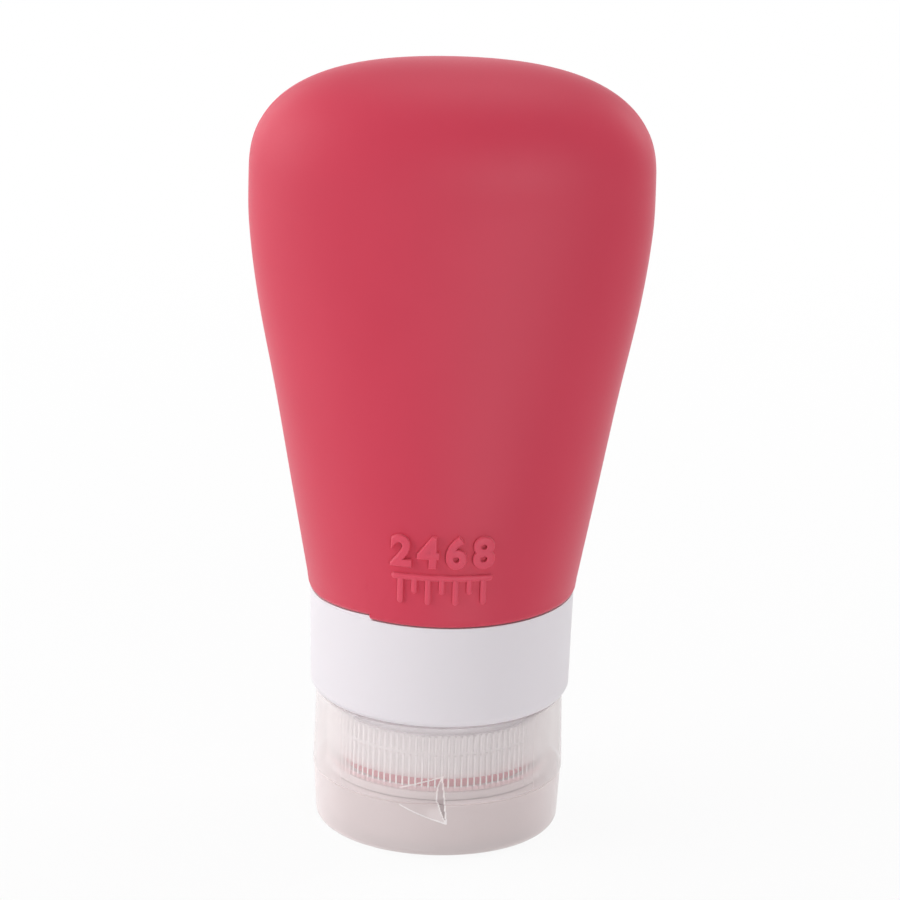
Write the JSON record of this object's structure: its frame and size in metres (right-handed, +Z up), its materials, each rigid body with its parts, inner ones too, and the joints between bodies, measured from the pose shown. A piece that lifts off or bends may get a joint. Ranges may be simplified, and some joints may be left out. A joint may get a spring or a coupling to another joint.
{
  "type": "travel silicone bottle",
  "caption": "Soft silicone squeeze bottle for toiletries that stands upside down on its clear flip lid, with a white threaded collar, a screw cap and a no-drip valve.",
  "frame": {"origin": "centre of the lid's flat outer face, on which the bottle stands", "axes": "+Z up to the closed end of the bottle, X across its broad side, thumb scoop at the front (-Y), lid hinge at the back (+Y)"},
  "size_m": [0.053, 0.035, 0.105],
  "materials": {
    "red_silicone": "moulded silicone with a soft matt skin",
    "white_polypropylene": "moulded, fine satin",
    "clear_polypropylene": "moulded, hazy clear",
    "clear_silicone": "moulded, milky clear"
  },
  "bodies": {
    "bottle": {"bottle_body": "red_silicone", "collar": "white_polypropylene"},
    "valve_unit": {"no_drip_valve": "clear_silicone", "valve_retainer": "clear_polypropylene"},
    "cap": {"cap_shell": "clear_polypropylene", "thread_ring": "clear_polypropylene"},
    "lid": {"flip_lid": "clear_polypropylene"}
  },
  "joints": [
    {"name": "cap_lift", "type": "slide", "parent": "bottle", "child": "valve_unit", "axis": [0, 0, -1], "range_m": [0, 0.0075]},
    {"name": "cap_turn", "type": "hinge", "parent": "valve_unit", "child": "cap", "pos_m": [0, 0, 0], "axis": [0, 0, -1], "range_deg": [0, 900]},
    {"name": "lid_hinge", "type": "hinge", "parent": "cap", "child": "lid", "pos_m": [0, 0.0149, 0.0062], "axis": [1, 0, 0], "range_deg": [0, 135]}
  ],
  "couplings": [
    {"joint": "cap_turn", "follows": "cap_lift", "rad_per_m": 2094.4}
  ]
}
